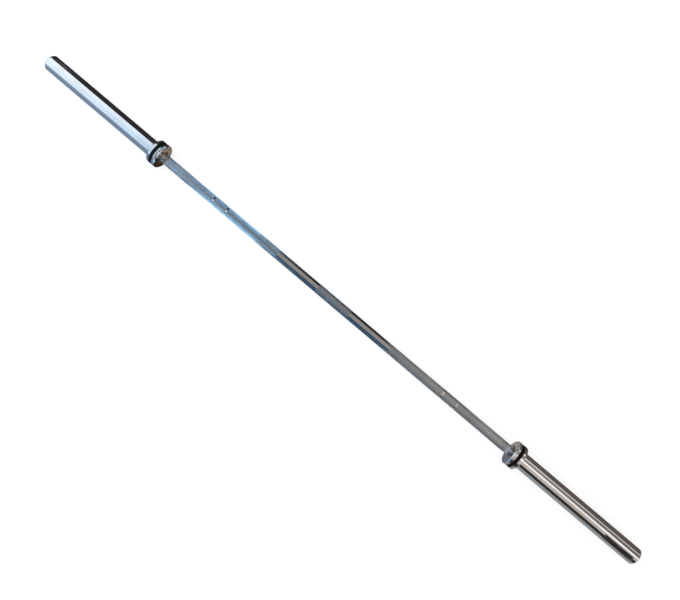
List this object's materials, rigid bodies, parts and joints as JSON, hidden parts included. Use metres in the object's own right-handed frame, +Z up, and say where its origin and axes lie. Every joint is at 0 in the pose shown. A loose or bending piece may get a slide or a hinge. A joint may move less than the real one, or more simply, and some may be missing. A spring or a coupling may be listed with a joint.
{
  "type": "olympic barbell",
  "caption": "Long straight weightlifting bar with knurled grip zones, smooth ring marks and chromed sleeves behind banded collars that turn on bearings and carry weight plates.",
  "frame": {"origin": "middle of the bar, on its axis", "axes": "+X along the bar, +Z up"},
  "size_m": [2.2, 0.076, 0.076],
  "materials": {
    "shaft_chrome": "hard chrome over rolled knurl",
    "sleeve_chrome": "bright turned chrome",
    "band_rubber": "matt black",
    "bush_bronze": "turned bronze",
    "bearing_steel": "ground",
    "spring_steel": "phosphated, dark",
    "cap_steel": "turned"
  },
  "bodies": {
    "shaft": {"shaft": "shaft_chrome", "left_shaft_circlip": "spring_steel", "right_shaft_circlip": "spring_steel"},
    "left_sleeve": {"left_sleeve": "sleeve_chrome", "left_collar": "sleeve_chrome", "left_collar_band": "band_rubber", "left_collar_bush": "bush_bronze", "left_inner_bearing_cup": "bearing_steel", "left_outer_bearing_cup": "bearing_steel", "left_thrust_washer": "bearing_steel", "left_end_cap": "cap_steel", "left_end_cap_circlip": "spring_steel"},
    "left_inner_cage": {"left_inner_bearing_cage": "bearing_steel", "left_inner_bearing_needles": "bearing_steel"},
    "left_outer_cage": {"left_outer_bearing_cage": "bearing_steel", "left_outer_bearing_needles": "bearing_steel"},
    "right_sleeve": {"right_sleeve": "sleeve_chrome", "right_collar": "sleeve_chrome", "right_collar_band": "band_rubber", "right_collar_bush": "bush_bronze", "right_inner_bearing_cup": "bearing_steel", "right_outer_bearing_cup": "bearing_steel", "right_thrust_washer": "bearing_steel", "right_end_cap": "cap_steel", "right_end_cap_circlip": "spring_steel"},
    "right_inner_cage": {"right_inner_bearing_cage": "bearing_steel", "right_inner_bearing_needles": "bearing_steel"},
    "right_outer_cage": {"right_outer_bearing_cage": "bearing_steel", "right_outer_bearing_needles": "bearing_steel"}
  },
  "joints": [
    {"name": "left_sleeve_spin", "type": "hinge", "parent": "shaft", "child": "left_sleeve", "pos_m": [-0.655, 0, 0], "axis": [1, 0, 0], "continuous": true},
    {"name": "left_inner_cage_orbit", "type": "hinge", "parent": "shaft", "child": "left_inner_cage", "pos_m": [-0.655, 0, 0], "axis": [1, 0, 0], "continuous": true},
    {"name": "left_outer_cage_orbit", "type": "hinge", "parent": "shaft", "child": "left_outer_cage", "pos_m": [-0.655, 0, 0], "axis": [1, 0, 0], "continuous": true},
    {"name": "right_sleeve_spin", "type": "hinge", "parent": "shaft", "child": "right_sleeve", "pos_m": [0.655, 0, 0], "axis": [1, 0, 0], "continuous": true},
    {"name": "right_inner_cage_orbit", "type": "hinge", "parent": "shaft", "child": "right_inner_cage", "pos_m": [0.655, 0, 0], "axis": [1, 0, 0], "continuous": true},
    {"name": "right_outer_cage_orbit", "type": "hinge", "parent": "shaft", "child": "right_outer_cage", "pos_m": [0.655, 0, 0], "axis": [1, 0, 0], "continuous": true}
  ],
  "couplings": [
    {"joint": "left_inner_cage_orbit", "follows": "left_sleeve_spin", "ratio": 0.54545},
    {"joint": "left_outer_cage_orbit", "follows": "left_sleeve_spin", "ratio": 0.54545},
    {"joint": "right_inner_cage_orbit", "follows": "right_sleeve_spin", "ratio": 0.54545},
    {"joint": "right_outer_cage_orbit", "follows": "right_sleeve_spin", "ratio": 0.54545}
  ]
}
